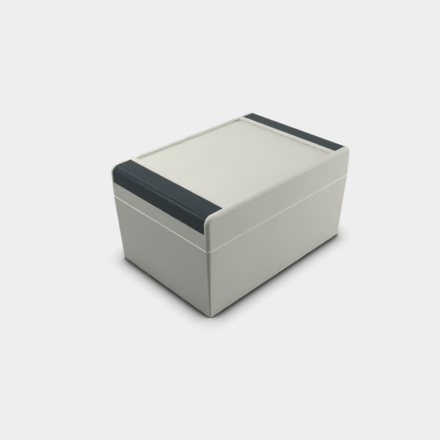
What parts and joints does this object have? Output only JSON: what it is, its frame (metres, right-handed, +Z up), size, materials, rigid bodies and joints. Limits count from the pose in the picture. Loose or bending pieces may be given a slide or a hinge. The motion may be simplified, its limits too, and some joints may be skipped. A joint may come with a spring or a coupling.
{
  "type": "plastic project box with hinged cover strips",
  "caption": "Drafted plastic enclosure for electronics: deep base, screwed lid with a keypad recess, and a hinged cover strip over the screw channel at each end.",
  "frame": {"origin": "centre of the base's underside, on the surface it stands on", "axes": "+X along the length towards the right-hand cover strip, +Y across the box, +Z up"},
  "size_m": [0.16, 0.1106, 0.086],
  "materials": {
    "shell": "fine moulded satin, light grey",
    "strip": "satin dark slate",
    "seal": "soft foam rubber",
    "steel": "bright plated steel",
    "ring": "natural nylon",
    "brass": "turned brass"
  },
  "bodies": {
    "box": {"base": "shell", "lid": "shell", "gasket": "seal", "lid_screw_1": "steel", "lid_screw_2": "steel", "lid_screw_3": "steel", "lid_screw_4": "steel", "retaining_ring_1": "ring", "retaining_ring_2": "ring", "retaining_ring_3": "ring", "retaining_ring_4": "ring", "insert_1": "brass", "insert_2": "brass", "insert_3": "brass", "insert_4": "brass"},
    "left_strip": {"cover_strip_left": "strip"},
    "right_strip": {"cover_strip_right": "strip"}
  },
  "joints": [
    {"name": "left_strip_hinge", "type": "hinge", "parent": "box", "child": "left_strip", "pos_m": [-0.06345, 0, 0.0849], "axis": [0, 1, 0], "range_deg": [0, 95]},
    {"name": "right_strip_hinge", "type": "hinge", "parent": "box", "child": "right_strip", "pos_m": [0.06345, 0, 0.0849], "axis": [0, -1, 0], "range_deg": [0, 95]}
  ]
}
